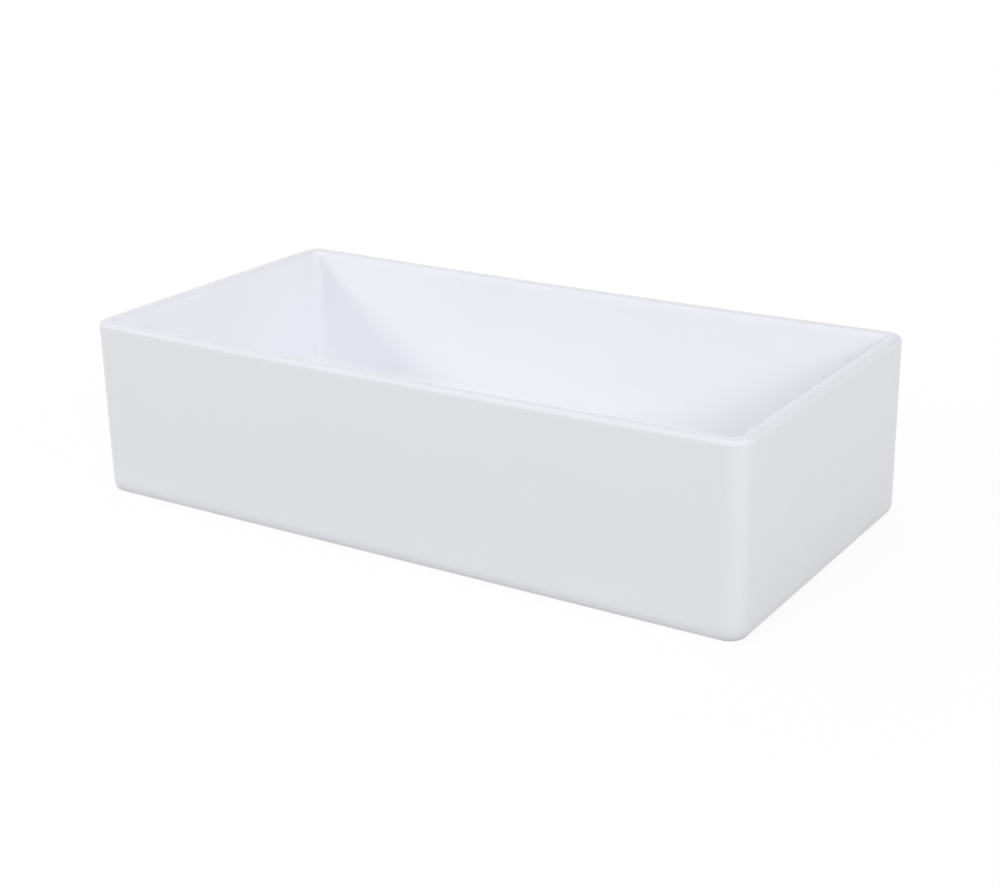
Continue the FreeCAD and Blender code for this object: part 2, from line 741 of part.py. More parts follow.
def make_spring():
    """The compression spring: one round wire along a helix made of tangent arcs, eight to a turn."""
    wire_radius = number(half("spring_wire"))
    radius = number("(Sizes.spring_diameter - Sizes.spring_wire) / 2")
    turns = int(number(size("spring_turns")))
    base = number(SPRING_BASE) + wire_radius
    rise = number(f"{ROTOR_BASE} - {SPRING_BASE}") - 2 * wire_radius - number(size("rotor_gap"))
    quarters = 4 * turns
    climb = rise / (turns * 2 * math.pi)

    def place(angle):
        return FreeCAD.Vector(radius * math.cos(angle), radius * math.sin(angle), base + climb * angle)

    def way(angle):
        return FreeCAD.Vector(-radius * math.sin(angle), radius * math.cos(angle), climb).normalize()

    edges = []
    for quarter in range(quarters):
        angle = quarter * math.pi / 2
        after = angle + math.pi / 2
        edges.extend(arc.toShape() for arc in biarc(place(angle), way(angle), place(after), way(after)))
    path = Part.Wire(Part.__sortEdges__(edges))
    section = Part.Wire([Part.makeCircle(wire_radius, place(0), way(0))])
    spring = doc.addObject("Part::Feature", "cartridge_spring")
    spring.Shape = path.makePipeShell([section], True, False)
    print("spring: turns", turns, "gap between turns", round(rise / turns - 2 * wire_radius, 3))
    return spring


basin_parts = [make_basin(), make_waste_body()] + make_clamp()
plug_parts = make_plug()
cartridge_parts = [
    make_sleeve(),
    make_bush(),
    make_sealing_ring(),
    make_plunger(),
    make_rotor(),
    make_spring(),
]
doc.recompute()

# Check the whole document, then write one file for each piece

for item in doc.Objects:
    if {"Invalid", "Error"} & set(item.State):
        raise RuntimeError(f"{item.Label} failed: {item.State}")

os.makedirs("parts", exist_ok=True)
sub_parts = basin_parts + plug_parts + cartridge_parts
for piece in sub_parts:
    shape = piece.Shape
    if shape.isNull() or not shape.isValid() or len(shape.Solids) != 1:
        raise RuntimeError(f"{piece.Label} has no single valid solid")
for piece in sub_parts:
    piece.Shape.exportStep(f"parts/{piece.Label}.step")
    print(piece.Label, round(piece.Shape.Volume / 1000, 3), "cm3")
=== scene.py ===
# %% [markdown]
# A washbasin that stands on a counter: a long glazed box with thin walls, and in the middle of its floor a
# waste whose plug is pushed to close and pushed again to open. The imported solids give every size and place,
# in metres, with the counter at z = 0. This lesson dresses them. Each solid gets a surface worked out with
# numpy in the same place, and a finish made of shader nodes.

# %% Load the imported frame
import math

import bpy
import numpy as np
from mathutils import Matrix, Vector


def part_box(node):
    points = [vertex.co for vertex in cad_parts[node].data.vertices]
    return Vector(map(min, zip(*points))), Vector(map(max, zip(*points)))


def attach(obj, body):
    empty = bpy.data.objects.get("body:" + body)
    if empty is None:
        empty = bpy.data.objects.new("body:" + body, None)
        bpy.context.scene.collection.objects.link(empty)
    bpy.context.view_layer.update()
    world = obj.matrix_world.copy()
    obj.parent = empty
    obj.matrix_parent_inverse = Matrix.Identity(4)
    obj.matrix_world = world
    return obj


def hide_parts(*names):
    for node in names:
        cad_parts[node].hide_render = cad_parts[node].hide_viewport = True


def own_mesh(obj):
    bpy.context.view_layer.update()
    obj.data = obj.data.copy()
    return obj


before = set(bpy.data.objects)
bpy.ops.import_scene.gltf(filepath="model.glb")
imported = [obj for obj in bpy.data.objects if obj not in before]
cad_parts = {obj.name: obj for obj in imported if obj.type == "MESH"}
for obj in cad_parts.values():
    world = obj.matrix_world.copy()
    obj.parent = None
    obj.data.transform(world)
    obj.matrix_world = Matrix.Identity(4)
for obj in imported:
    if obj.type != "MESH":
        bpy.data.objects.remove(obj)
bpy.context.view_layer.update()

# %% [markdown]
# Every piece here is a grid of points: rows run along a profile and columns once round. Blender's Spin and
# Screw tools would give the same rings, but a grid of numbers can be measured and changed as one array.
# Where a row shrinks to one point, as at the crown of the plug, its squares become triangles that share
# that point. The sign of the enclosed volume tells which way the faces look, so none end up inside out.

# %% From grids of points to a mesh
MM = 0.001
POLE = 1e-6


def squares(grid, loop):
    """Vertex numbers of a grid's squares: square (i, j) joins columns j and j + 1 of rows i and i + 1.
    Columns close round, and so do rows if loop is true. All the points of a pole row get one number."""
    rows, columns = grid.shape[:2]
    number = np.arange(rows * columns).reshape(rows, columns)
    pole = np.ptp(grid, axis=1).max(axis=1) < POLE
    number[pole] = number[pole, :1]
    below, above = (number, np.roll(number, -1, 0)) if loop else (number[:-1], number[1:])
    return np.stack([below, np.roll(below, -1, 1), np.roll(above, -1, 1), above], -1).reshape(-1, 4)


def surface(name, *grids, loop=False, crease=40):
    """One mesh from grids of points (rows, columns, 3) in millimetres. The volume is a sixth of the sum
    of p . (q x r) over the triangles pqr, and the faces are turned round if it comes out negative."""
    points = np.concatenate([grid.reshape(-1, 3) for grid in grids])
    starts = np.cumsum([0] + [grid[..., 0].size for grid in grids[:-1]])
    loops = np.broadcast_to(loop, len(grids))
    faces = np.concatenate([squares(*pair) + start for *pair, start in zip(grids, loops, starts)])
    p, q, r, s = points[faces.T]
    volume = (np.sum(p * np.cross(q, r)) + np.sum(p * np.cross(r, s))) / 6
    faces = faces if volume > 0 else faces[:, ::-1]
    from_pole, to_pole = faces[:, 0] == faces[:, 1], faces[:, 2] == faces[:, 3]
    quads = faces[~from_pole & ~to_pole]
    fans = np.concatenate([faces[from_pole][:, 1:], faces[to_pole][:, :3]])
    used, place = np.unique(np.concatenate([quads.ravel(), fans.ravel()]), return_inverse=True)
    quads, fans = place[:quads.size].reshape(-1, 4), place[quads.size:].reshape(-1, 3)
    mesh = bpy.data.meshes.new(name)
    mesh.from_pydata(points[used] * MM, [], quads.tolist() + fans.tolist())
    mesh.shade_smooth()
    mesh.set_sharp_from_angle(angle=math.radians(crease))
    piece = bpy.data.objects.new(name, mesh)
    bpy.context.scene.collection.objects.link(piece)
    piece.modifiers.new("even_normals", "WEIGHTED_NORMAL").keep_sharp = True
    print(f"{name}: {len(quads)} squares, {len(fans)} triangles, {abs(volume) / 1000:.2f} cm3")
    return piece


# %% [markdown]
# The basin is one shell of fired clay, seen from above as a rounded rectangle inside another. A box with
# bevels could pass for it from afar, but the bowl's corners open out towards the floor, the floor falls
# to the drain and the outside tucks in at the foot. So the outline is a function: a corner arc whose
# centre slides along the straight sides. One set of columns then serves every height.

# %% Once round a rounded rectangle
CORNER_STEPS, LONG_STEPS, SHORT_STEPS = 16, 34, 18


def slide(steps):
    """From near 1 to near -1 by cosine steps, which lie closer together towards both ends."""
    return np.cos(np.pi * np.arange(1, steps) / steps)


def side_by_side(*quarters):
    """One row for the four quarters of the outline, each a value on the corner and values on the side."""
    rows = [np.r_[np.broadcast_to(corner, CORNER_STEPS + 1), side] for corner, side in quarters]
    return np.concatenate(rows)


long_slide, short_slide = slide(LONG_STEPS), slide(SHORT_STEPS)
long_still, short_still = np.ones(LONG_STEPS - 1), np.ones(SHORT_STEPS - 1)
right_angle = np.pi / 2
bend = np.linspace(0, right_angle, CORNER_STEPS + 1)
TURN = side_by_side(
    (bend, right_angle * long_still),
    (bend + right_angle, 2 * right_angle * short_still),
    (bend + 2 * right_angle, 3 * right_angle * long_still),
    (bend + 3 * right_angle, 4 * right_angle * short_still),
)
SLIDE_X = side_by_side((1, long_slide), (-1, -short_still), (-1, -long_slide), (1, short_still))
SLIDE_Y = side_by_side((1, long_still), (1, short_slide), (-1, -long_still), (-1, -short_slide))


def outline(half_length, half_width, corner):
    """Rows of rounded rectangles. The arc's centre is the slide times (half side - corner), and the point
    lies one corner radius from it in the direction of the turn."""
    half_length, half_width, corner = (np.reshape(v, (-1, 1)) for v in (half_length, half_width, corner))
    x = SLIDE_X * (half_length - corner) + corner * np.cos(TURN)
    y = SLIDE_Y * (half_width - corner) + corner * np.sin(TURN)
    return np.stack([x, y], -1)


print("columns round the basin:", TURN.size)

# %% [markdown]
# Going down into the bowl, the floor is a flat seat round the drain and then a very shallow cone, and a
# cove joins it to the walls. The walls stand upright. Each stretch below gives rows of outlines and their
# heights, and the rows meet edge to edge.

# %% Inside of the bowl
LENGTH, WIDTH, HEIGHT = np.subtract(*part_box("basin_body")[::-1]) / MM
WALL, COVE = 12.0, 10.0
FLOOR, SEAT_RADIUS, FALL = 29.0, 35.0, math.tan(math.radians(1.1))
HOLE_RADIUS, HOLE_EDGE = 23.0, 0.6
BOWL_CORNER_AT_RIM, BOWL_CORNER_AT_FLOOR = 6.0, 14.0
RIM_INSIDE, RIM_OUTSIDE = 4.0, 4.0
HOLE_MARGIN, SEAT_MARGIN = 2.0, 1.0
COVE_STEPS, FALL_STEPS, WALL_STEPS = 9, 12, 16
bowl_length, bowl_width = LENGTH / 2 - WALL, WIDTH / 2 - WALL


def quarter_turn(steps):
    """Angles from 0 to a right angle, as a column."""
    return np.linspace(0, right_angle, steps + 1)[:, None]


def floor_height(place):
    """The cone of the floor: level on the seat, then rising with the distance from the drain."""
    return FLOOR + FALL * np.maximum(np.hypot(place[..., 0], place[..., 1]) - SEAT_RADIUS, 0)


def bowl_corner(height):
    """Corner radius of the bowl, shrinking in a straight line from the floor to the rim."""
    share = (height - FLOOR) / (HEIGHT - FLOOR)
    return BOWL_CORNER_AT_FLOOR + (BOWL_CORNER_AT_RIM - BOWL_CORNER_AT_FLOOR) * share


def raised(place, height):
    """Rows of points (x, y, z) from rows of (x, y) and their heights."""
    return np.concatenate([place, np.broadcast_to(height, place.shape[:2])[..., None]], -1)


def circles(radii):
    """Rows of circles whose columns look the same way from the drain as the cove's foot does."""
    return np.reshape(radii, (-1, 1, 1)) * compass


def between(start, end, steps):
    """Rows that go in equal steps from one row to another, without either."""
    share = np.linspace(0, 1, steps + 1)[1:-1, None, None]
    return (1 - share) * start + share * end


corner_of_floor = floor_height(np.array([bowl_length - COVE, bowl_width - COVE]))
angle = quarter_turn(COVE_STEPS)
inset = COVE * (1 - np.sin(angle))
cove_corner = bowl_corner(corner_of_floor + COVE * (1 - np.cos(angle))) - inset
cove = outline(bowl_length - inset, bowl_width - inset, cove_corner)
compass = cove[:1] / np.hypot(cove[:1, :, :1], cove[:1, :, 1:])
cove_foot = floor_height(cove[0])
seat_edge = SEAT_RADIUS + np.array([-SEAT_MARGIN, SEAT_MARGIN])
seat = circles(np.r_[HOLE_RADIUS + HOLE_EDGE, HOLE_RADIUS + HOLE_MARGIN, seat_edge])
fall = between(seat[-1:], cove[:1], FALL_STEPS)
wall_foot = cove_foot + COVE
climb = (1 - slide(WALL_STEPS))[:, None] / 2
rim_foot = HEIGHT - RIM_INSIDE
wall_corner = bowl_corner(corner_of_floor + COVE + (rim_foot - corner_of_floor - COVE) * climb)
wall = outline(bowl_length + 0 * climb, bowl_width + 0 * climb, wall_corner)
bowl_rows = [
    raised(seat, floor_height(seat)),
    raised(fall, floor_height(fall)),
    raised(cove, cove_foot + COVE * (1 - np.cos(angle))),
    raised(wall, wall_foot + (rim_foot - wall_foot) * climb),
]
print("rows inside the bowl:", sum(len(rows) for rows in bowl_rows))

# %% [markdown]
# Over the rim, the inner and the outer edge have the same small round, with a narrow flat between them. The
# outside drops straight and then tucks in at the foot along a quarter of an ellipse, taller than it is
# wide, which keeps the bottom edge crisp from the front and soft at the corners. Under it the basin stands
# on a ring, ground flat and left without glaze, and the recess inside that ring gives the nut and washers
# their room.

# %% Rim, outside and underside
OUTSIDE_CORNER, FOOT_TUCK, FOOT_RISE = 16.0, 4.0, 10.0
FOOT_WIDTH, RECESS_CORNER, RECESS_DEPTH = 14.0, 10.0, 17.0
FOOT_EDGE, RECESS_COVE = 1.0, 4.0
COLLAR_OUTSIDE, COLLAR_INSIDE = 3.0, 1.0
ROUND_STEPS, DROP_STEPS, CEILING_STEPS = 8, 12, 9


def stretch(offset, height, corner_at_wall):
    """Rows of outlines offset outwards from the bowl's wall; their corner radius grows with the offset."""
    offset = np.reshape(offset, (-1, 1))
    rows = outline(bowl_length + offset, bowl_width + offset, corner_at_wall + offset)
    return raised(rows, np.reshape(height, (-1, 1)))


angle = quarter_turn(ROUND_STEPS)
drop = (1 - slide(DROP_STEPS)) / 2
foot_inside = WALL - FOOT_WIDTH
outside, recess = OUTSIDE_CORNER - WALL, RECESS_CORNER - foot_inside
rise, sweep = np.sin(angle), 1 - np.cos(angle)
wall_drop = HEIGHT - RIM_OUTSIDE - FOOT_RISE
rim_rows = [
    stretch(RIM_INSIDE * sweep, rim_foot + RIM_INSIDE * rise, BOWL_CORNER_AT_RIM),
    stretch(WALL - RIM_OUTSIDE * (1 - rise), HEIGHT - RIM_OUTSIDE * sweep, outside),
]
outside_rows = [
    stretch(WALL + 0 * drop, HEIGHT - RIM_OUTSIDE - wall_drop * drop, outside),
    stretch(WALL - FOOT_TUCK * sweep, FOOT_RISE * (1 - rise), outside),
]
contact = WALL - FOOT_TUCK - FOOT_EDGE / 2
foot_rows = [
    stretch(contact, 0.0, outside),
    stretch(foot_inside + FOOT_EDGE * (1 - rise), FOOT_EDGE * sweep, recess),
]
recess_cove = stretch(foot_inside - RECESS_COVE * sweep, RECESS_DEPTH - RECESS_COVE * (1 - rise), recess)
ceiling = between(recess_cove[-1:, :, :2], circles([HOLE_RADIUS + COLLAR_OUTSIDE]), CEILING_STEPS)
bevel = HOLE_EDGE / 3
under_hole = np.array([
    (COLLAR_OUTSIDE, 0), (COLLAR_INSIDE, 0), (HOLE_EDGE, 0), (bevel, bevel), (0, HOLE_EDGE)])
over_hole = np.array([(0, HOLE_EDGE), (bevel, bevel)])
hole = circles(HOLE_RADIUS + np.r_[under_hole[:, 0], over_hole[:, 0]])
hole_heights = np.r_[RECESS_DEPTH + under_hole[:, 1], FLOOR - over_hole[:, 1]]
recess_rows = [recess_cove, raised(ceiling, RECESS_DEPTH), raised(hole, hole_heights[:, None])]
print("rows outside:", sum(len(rows) for rows in rim_rows + outside_rows + foot_rows + recess_rows))

# %% [markdown]
# Thin clay walls settle a little as they are fired, so the long rims of the real basin dip by a millimetre
# or two between the corners. The same dip is one formula on the finished grid: a parabola along the
# length, fading out towards the floor. The rows close into a ring, because the shell goes round the wall
# and comes back through the drain hole. Two numbers per vertex, bare and edge, tell the finish where the
# clay was left unglazed and where to paint shade over the rim: edge is painted shade, strongest where the
# rim faces up, so that the rim doesn't come out brighter than the walls. The thin wash under the basin
# counts as partly bare.

# %% The basin's shell
SAG, SAG_FROM, WASH = 1.8, 40.0, 0.45


def give_mark(piece, mark, values):
    """Give every vertex a number, which a finish can read by the name of the mark."""
    layer = piece.data.attributes.new(mark, "FLOAT", "POINT")
    layer.data.foreach_set("value", np.ravel(values))


# The third number of each stretch is the edge mark, a painted shade on the rim: it follows the sine and
# cosine of the round, so it is strongest where the rim faces up.
stretches = [
    (bowl_rows, 0.0, 0.0), (rim_rows[:1], 0.0, rise), (rim_rows[1:], 0.0, 1 - sweep),
    (outside_rows, 0.0, 0.0), (foot_rows, 1.0, 0.0), (recess_rows, WASH, 0.0),
]
shell = np.concatenate([rows for part, _, _ in stretches for rows in part])
lift = np.clip((shell[..., 2] - SAG_FROM) / (HEIGHT - SAG_FROM), 0, 1)
shell[..., 2] -= SAG * (1 - (2 * shell[..., 0] / LENGTH) ** 2) * lift ** 2
basin_shell = surface("basin_shell", shell, loop=True, crease=60)
for mark, column in (("bare", 1), ("edge", 2)):
    values = [np.broadcast_to(part[column], rows.shape[:2]) for part in stretches for rows in part[0]]
    give_mark(basin_shell, mark, np.concatenate(values))

# %% [markdown]
# The waste is almost all turned on a lathe, and so are the surfaces: a profile of radius and height goes
# once round the upright axis. A turned edge is never perfectly sharp, so each corner of a profile carries
# a radius, and the corner becomes the arc that touches both its sides.

# %% Profiles and turning
ARC_STEPS, TOGETHER = 5, 1e-5


def rounded(corners):
    """A profile from corners (radius, height, rounding). With h half the angle between its two sides, a
    corner's arc has its centre at rounding / sin h along the bisector and touches the sides at
    rounding / tan h from the corner. Points that fall together are dropped."""
    corners = np.array(corners, float)
    place, rounding = corners[:, :2], corners[:, 2:]
    back, ahead = np.roll(place, 1, 0) - place, np.roll(place, -1, 0) - place
    back, ahead = (way / np.linalg.norm(way, axis=1, keepdims=True) for way in (back, ahead))
    h = np.arccos(np.clip(np.sum(back * ahead, 1, keepdims=True), -1, 1)) / 2
    h = np.clip(h, POLE, right_angle - POLE)
    bisector = (back + ahead) / (2 * np.cos(h))
    centre = place + bisector * rounding / np.sin(h)
    first = place + back * rounding / np.tan(h) - centre
    last = place + ahead * rounding / np.tan(h) - centre
    swing, share = np.pi - 2 * h, np.linspace(0, 1, ARC_STEPS + 1)[:, None, None]
    arc = (np.sin((1 - share) * swing) * first + np.sin(share * swing) * last) / np.sin(swing)
    points = np.swapaxes(centre + arc, 0, 1).reshape(-1, 2)
    return points[np.r_[True, np.linalg.norm(np.diff(points, axis=0), axis=1) > TOGETHER]]


def turned(profile, columns=96):
    """Rows of circles: radius and height from the profile, the angle from the column."""
    angle = np.arange(columns) * 2 * np.pi / columns
    radius, height = profile[:, :1], profile[:, 1:]
    return np.stack([radius * np.cos(angle), radius * np.sin(angle), height + 0 * angle], -1)


def reach(node):
    """Lowest and highest point and outer radius of a solid, in millimetres."""
    low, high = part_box(node)
    return low.z / MM, high.z / MM, high.x / MM


print("a square corner of 2 mm:", len(rounded([(0, 0, 0), (9, 0, 2), (9, 9, 0)])), "points")

# %% [markdown]
# The body of the waste is a chromed flange with a conical throat that the plug closes on, and a tube with
# a pipe thread. The thread could be a bump in the finish, but it would vanish at the tube's silhouette. As
# geometry it needs no helix tool: on a turned grid it is enough to lower each point's radius by a wave of
# height and angle together, which climbs one pitch per turn.

# %% Flange, tube and thread
PITCH, THREAD_DEPTH, ROWS_PER_PITCH = 2.309, 1.4, 10
THREAD_LEAD, THREAD_HIGH, RELIEF_HIGH, THROAT_FOOT = 1.0, -2.0, 1.0, 0.5
FLANGE_SEAT, FLANGE_ROUND = 30.5, 2.0
CREST, RELIEF_RADIUS, BORE, THROAT = 20.95, 19.75, 18.0, 26.0
tail_end, flange_top, flange_radius = reach("waste_body")
thread_low = tail_end + THREAD_LEAD
thread_rows = int((THREAD_HIGH - thread_low) / PITCH * ROWS_PER_PITCH)
thread_height = np.linspace(thread_low, THREAD_HIGH, thread_rows)
thread = np.stack([CREST + 0 * thread_height, thread_height], -1)
plain = rounded([
    (RELIEF_RADIUS, THREAD_HIGH, 0), (RELIEF_RADIUS, RELIEF_HIGH, 0.3), (CREST, RELIEF_HIGH, 0.2),
    (CREST, FLANGE_SEAT, 0.2), (flange_radius, FLANGE_SEAT, 0.4), (flange_radius, flange_top, FLANGE_ROUND),
    (THROAT, flange_top, 0.5), (BORE, FLANGE_SEAT + THROAT_FOOT, 1.5), (BORE, tail_end, 0.3),
    (CREST - THREAD_LEAD, tail_end, 0),
])
waste = turned(np.concatenate([thread, plain]), columns=120)
threaded = waste[:thread_rows]
turn = np.arctan2(threaded[..., 1], threaded[..., 0])
ridge = (1 - np.cos(2 * np.pi * threaded[..., 2] / PITCH - turn)) / 2
run_in = np.clip(np.minimum(thread_height - thread_low, THREAD_HIGH - thread_height) / PITCH, 0, 1)
threaded[..., :2] *= 1 - (THREAD_DEPTH * ridge * run_in[:, None])[..., None] / CREST
waste_tube = surface("waste_tube", waste, loop=True)

# %% [markdown]
# Across the bore lies a cast cross whose boss holds the cartridge of the plug. Each arm is a rounded bar:
# a small rounded rectangle carried along the radius and closed at both ends.

# %% The cross in the bore
CROSS_LOW, CROSS_HIGH, ARM_WIDTH = -18.0, -10.0, 4.0
BOSS_RADIUS, BOSS_THREAD = 7.5, 4.0
ARM_ROUND, INTO_BOSS, INTO_TUBE = 1.2, 1.5, 1.0
half = ARM_WIDTH / 2
section = rounded([
    (-half, CROSS_LOW, ARM_ROUND), (half, CROSS_LOW, ARM_ROUND),
    (half, CROSS_HIGH, ARM_ROUND), (-half, CROSS_HIGH, ARM_ROUND),
])
middle = section.mean(0)
along = np.repeat([BOSS_RADIUS - INTO_BOSS, BORE + INTO_TUBE], 2)[:, None]
share = np.array([0, 1, 1, 0])[:, None, None]
bar = middle + share * (section - middle)
bar = np.stack([along + 0 * bar[..., 0], bar[..., 0], bar[..., 1]], -1)
boss = turned(rounded([
    (BOSS_THREAD, CROSS_LOW, 0.3), (BOSS_RADIUS, CROSS_LOW, 0.6), (BOSS_RADIUS, CROSS_HIGH, 0.6),
    (BOSS_THREAD, CROSS_HIGH, 0.3),
]), columns=48)
arms = [bar @ np.array(Matrix.Rotation(k * right_angle, 3, "Z")).T for k in range(4)]
waste_cross = surface("waste_cross", boss, *arms, loop=[True] + 4 * [False])

# %% [markdown]
# Seals, plug and cartridge follow as a table: every row is one turned piece, its profile in millimetres
# above the lowest point of its solid. The gasket has a collar that centres the tube in the hole, the
# washer below tapers, and the seal of the plug has a full round lip, since it is the edge that water
# presses against the throat.

# %% Turned pieces
RINGS = {
    "flange_gasket": [
        (21.25, 0, 0.3), (22.7, 0, 0.4), (22.7, 4, 0.2), (32, 4, 0.5), (32, 5.5, 0.5), (21.25, 5.5, 0.2)],
    "tapered_washer": [
        (21.05, 0, 0.4), (29, 0, 0.8), (26.5, 6, 0.7), (22.7, 6, 0.3), (22.05, 10, 0.4), (21.05, 10, 0.3)],
    "friction_washer": [(21.05, 0, 0.2), (28.5, 0, 0.5), (28.5, 1.5, 0.5), (21.05, 1.5, 0.2)],
    "plug_carrier": [
        (5.55, 0, 0.1), (20.2, 0, 0.35), (20.2, 1, 0.35), (18, 1, 0.2), (18, 3.5, 0.2), (28.7, 3.5, 0.4),
        (28.7, 5.3, 0.4), (8.5, 5.3, 0.6), (8.5, 6.8, 0.4), (5.55, 6.8, 0.1)],
    "plug_seal": [(18.05, 0, 0.3), (22.6, 0, 1.2), (22.6, 2.5, 1.2), (18.05, 2.5, 0.3)],
    "plug_insert": [(3, 0, 0.3), (5.5, 0, 0.3), (5.5, 6.8, 0.3), (3, 6.8, 0.3)],
    "cartridge_bush": [
        (4.06, 0, 0.2), (5.95, 0, 0.4), (5.95, 6, 0.1), (7.5, 6, 0.3), (7.5, 7.5, 0.5), (4.06, 7.5, 0.3)],
    "cartridge_seal": [(4.06, 0, 0.549), (5.16, 0, 0.549), (5.16, 1.1, 0.549), (4.06, 1.1, 0.549)],
}
SPINDLES = {
    "cartridge_sleeve": [
        (0, 0, 0), (3.95, 0, 0.5), (3.95, 8, 0.2), (7.5, 8, 0.5), (7.5, 42, 0.4), (6, 42, 0.4),
        (6, 10, 0.5), (0, 10, 0)],
    "cartridge_plunger": [
        (0, 0, 0), (2.5, 0, 0.5), (2.5, 7, 0.2), (5.94, 7, 0.3), (5.94, 10, 0.3), (4, 10, 0.2),
        (4, 29.6, 0.4), (2.95, 29.6, 0.2), (2.95, 40.9, 0.5), (0, 40.9, 0)],
}
dressed = {}
for node, corners in (RINGS | SPINDLES).items():
    profile = rounded(corners) + [0, reach(node)[0]]
    dressed[node] = surface(f"{node}_turned", turned(profile), loop=node in RINGS)

# %% [markdown]
# The cap is what a user sees and presses: a chromed dome pressed from sheet, hollow below, with a short
# upright edge. Its crown is a slice of a sphere, so its height comes from the circle's own formula.

# %% The plug's cap
CAP_EDGE, CAP_WALL, CAP_ROUND = 3.0, 1.2, 1.2
CLEAR_OVER, CLEAR_UNDER = 3.0, 1.0
ROWS_OVER, ROWS_UNDER = 22, 16
cap_low, cap_top, cap_radius = reach("plug_cap")
crown = cap_top - cap_low - CAP_EDGE
sphere = (cap_radius ** 2 + crown ** 2) / (2 * crown)


def dome(radius, top):
    """Corners of a dome: height = top - (sphere - sqrt(sphere^2 - radius^2)), with no rounding."""
    return np.stack([radius, top - sphere + np.sqrt(sphere ** 2 - radius ** 2), 0 * radius], -1)


inner_radius = cap_radius - CAP_WALL
over = dome(np.linspace(cap_radius - CLEAR_OVER, 0, ROWS_OVER), cap_top)
under = dome(np.linspace(0, inner_radius - CLEAR_UNDER, ROWS_UNDER), cap_top - CAP_WALL)
under_edge = dome(np.array([inner_radius]), cap_top - CAP_WALL)[0, 1]
edge = [(inner_radius, under_edge, 0.4), (inner_radius, cap_low, 0.2), (cap_radius, cap_low, 0.4),
        (cap_radius, cap_low + CAP_EDGE, CAP_ROUND)]
dressed["plug_cap"] = surface("plug_cap_dome", turned(rounded([*under, *edge, *over]), columns=120))

# %% [markdown]
# Nuts are hexagons cut from bar, with a cone taking off the corners above and below. A hexagon's edge lies
# at half the width over the cosine of the angle from the middle of its flat. The cone is a second radius
# that grows with the distance from the face, and the nut is wherever the smaller of the two lies.

# %% Hexagon nuts
CHAMFER_ROWS, LEAD_SHARE = 8, 0.02


def hexagon_nut(node, flats, bore, columns=144):
    """Rows up the outside of a nut, radius = min(flat / cos a, flat + sqrt(3) x distance from the face),
    and back down its bore."""
    low, high, _ = reach(node)
    angle = np.arange(columns) * 2 * np.pi / columns
    flat = flats / 2
    hexagon = flat / np.cos((angle + np.pi / 6) % (np.pi / 3) - np.pi / 6)
    chamfer = np.linspace(0, (flat / math.cos(np.pi / 6) - flat) / math.sqrt(3), CHAMFER_ROWS)
    height = np.r_[low + chamfer, high - chamfer[::-1]][:, None]
    cone = flat + math.sqrt(3) * np.minimum(height - low, high - height)
    lead = LEAD_SHARE * flats
    bore_rows = np.array([(bore + lead, high), (bore, high - lead), (bore, low + lead), (bore + lead, low)])
    radius = np.concatenate([np.minimum(hexagon, cone), bore_rows[:, :1] + 0 * angle])
    height = np.concatenate([height, bore_rows[:, 1:]]) + 0 * angle
    grid = np.stack([radius * np.cos(angle), radius * np.sin(angle), height], -1)
    return surface(f"{node}_hexagon", grid, loop=True, crease=25)


dressed["backnut"] = hexagon_nut("backnut", flats=52.0, bore=21.0)
dressed["stem_locknut"] = hexagon_nut("stem_locknut", flats=10.0, bore=3.0)

# %% [markdown]
# Inside the cartridge a wire spring pushes the plug open. A wire is a circle carried along a helix: at each
# row the circle stands in the plane of the outward direction and the one square to it and to the path. The
# end turns lie flatter than the rest, so that the spring sits level. When the plug goes down the spring
# gets shorter; its piece gets a mesh of its own and stays with the basin instead of riding on the plug.

# %% The spring
WIRE, TURNS, ROWS_PER_TURN, END_FLATNESS = 0.45, 6, 32, 0.6
WIRE_COLUMNS, TRAVEL = 12, 9.0
spring_low, spring_high, spring_radius = reach("cartridge_spring")
spring_length = spring_high - spring_low
way = np.linspace(0, 1, TURNS * ROWS_PER_TURN + 1)
wind = 2 * np.pi * TURNS * way
coil_rise = way - END_FLATNESS * np.sin(2 * np.pi * way) / (2 * np.pi)
outward = np.stack([np.cos(wind), np.sin(wind), 0 * wind], -1)
path = (spring_radius - WIRE) * outward
path[:, 2] = spring_low + WIRE + (spring_length - 2 * WIRE) * coil_rise
forward = np.gradient(path, axis=0)
square = np.cross(forward / np.linalg.norm(forward, axis=1, keepdims=True), outward)
around = np.arange(WIRE_COLUMNS)[:, None] * 2 * np.pi / WIRE_COLUMNS
rings = path[:, None] + WIRE * (np.cos(around) * outward[:, None] + np.sin(around) * square[:, None])
ends = np.repeat(path[[0, -1], None], around.size, axis=1)
dressed["cartridge_spring"] = surface("cartridge_spring_wire", np.concatenate([ends[:1], rings, ends[1:]]))
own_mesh(dressed["cartridge_spring"])

# %% [markdown]
# Now every surface takes the place of its solid and rides on the body that carries it: the bowl and what
# is clamped to it stay, and the plug moves with its plunger. The notched index ring keeps its own solid,
# because its shape is right as it is and the sleeve hides it.

# %% What moves with what
PLUG = ("plug_cap", "plug_carrier", "plug_insert", "plug_seal", "stem_locknut", "cartridge_plunger")
SLOTS = {
    "glaze": ["basin_body"],
    "chrome": ["waste_body", "plug_cap"],
    "brass": ["backnut", "plug_insert", "cartridge_sleeve", "cartridge_plunger"],
    "steel": ["stem_locknut", "cartridge_spring"],
    "rubber": ["flange_gasket", "tapered_washer", "plug_seal", "cartridge_seal"],
    "plastic": ["friction_washer", "plug_carrier", "cartridge_bush", "cartridge_rotor"],
}
slot_of = {node: slot for slot, nodes in SLOTS.items() for node in nodes}
pairs = [(basin_shell, "basin_body"), (waste_tube, "waste_body"), (waste_cross, "waste_body")]
pairs += [(piece, node) for node, piece in dressed.items()]
for piece, node in pairs:
    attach(piece, "plug" if node in PLUG else "basin")
    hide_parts(node)
print("pieces:", len(pairs))

